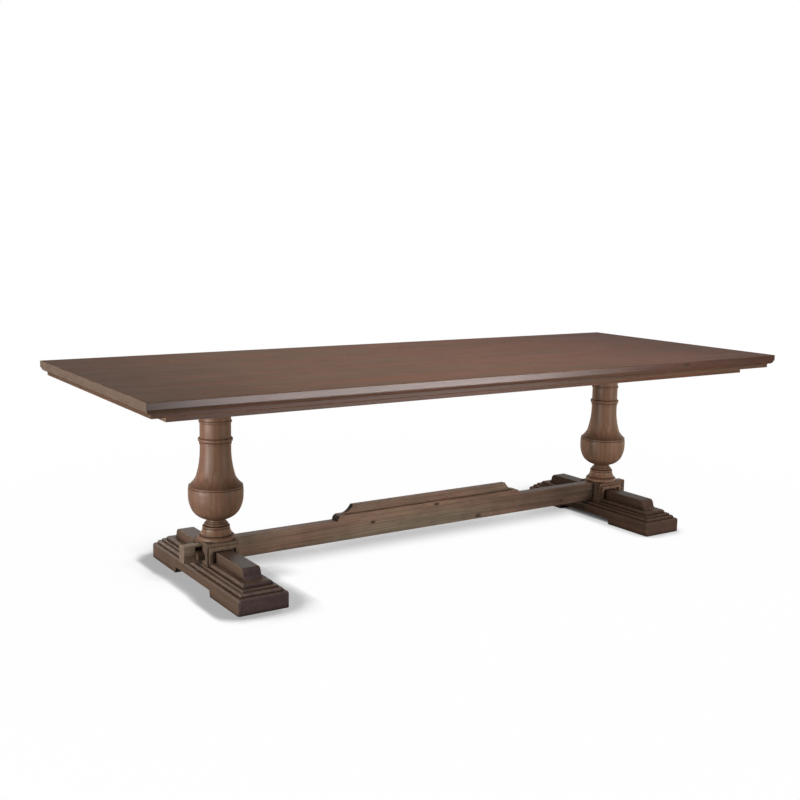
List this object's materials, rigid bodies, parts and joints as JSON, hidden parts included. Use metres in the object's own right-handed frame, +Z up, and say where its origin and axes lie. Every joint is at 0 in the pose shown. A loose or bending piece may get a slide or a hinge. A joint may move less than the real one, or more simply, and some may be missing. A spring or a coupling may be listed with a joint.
{
  "type": "dining table",
  "caption": "Long rectangular trestle dining table with a moulded plank top, turned urn columns on stepped sledge feet, and a low keyed stretcher with a shaped crest.",
  "frame": {"origin": "on the floor under the middle of the top", "axes": "+X along the table, +Y across it away from the viewer, +Z up"},
  "size_m": [2.8, 1.09, 0.765],
  "materials": {
    "top_wood": "satin brown stain, lengthwise grain",
    "edge_wood": "satin brown stain",
    "base_wood": "satin brown stain, worn lighter on the turnings",
    "key_wood": "satin brown stain",
    "inner_wood": "bare sawn wood",
    "steel": "zinc plated",
    "brass": "turned"
  },
  "bodies": {
    "table": {"top_board_1": "top_wood", "top_board_2": "top_wood", "top_board_3": "top_wood", "top_board_4": "top_wood", "top_board_5": "top_wood", "top_board_6": "top_wood", "top_board_7": "top_wood", "edge_strip_front": "edge_wood", "edge_strip_back": "edge_wood", "edge_strip_left": "edge_wood", "edge_strip_right": "edge_wood", "apron_front": "edge_wood", "apron_back": "edge_wood", "apron_left": "edge_wood", "apron_right": "edge_wood", "column_left": "base_wood", "plinth_left": "base_wood", "foot_base_left": "base_wood", "foot_moulding_left": "base_wood", "foot_ridge_front_left": "base_wood", "foot_ridge_back_left": "base_wood", "column_right": "base_wood", "plinth_right": "base_wood", "foot_base_right": "base_wood", "foot_moulding_right": "base_wood", "foot_ridge_front_right": "base_wood", "foot_ridge_back_right": "base_wood", "stretcher": "base_wood", "crest_low": "base_wood", "crest_high": "base_wood", "top_splines": "inner_wood", "batten_left": "inner_wood", "batten_centre": "inner_wood", "batten_right": "inner_wood", "bearer_left": "inner_wood", "bearer_right": "inner_wood", "corner_block_front_left": "inner_wood", "corner_block_front_right": "inner_wood", "corner_block_back_left": "inner_wood", "corner_block_back_right": "inner_wood", "batten_screws": "steel", "apron_screws": "steel", "bearer_bolts": "steel", "bearer_washers": "steel", "post_screws": "steel", "post_washers": "steel", "foot_screws": "steel", "crest_screws": "steel", "bearer_inserts": "brass"},
    "left_key": {"key_left": "key_wood"},
    "right_key": {"key_right": "key_wood"}
  },
  "joints": [
    {"name": "left_key_slide", "type": "slide", "parent": "table", "child": "left_key", "axis": [0, 1, 0], "range_m": [0, 0.075]},
    {"name": "right_key_slide", "type": "slide", "parent": "table", "child": "right_key", "axis": [0, 1, 0], "range_m": [0, 0.075]}
  ]
}
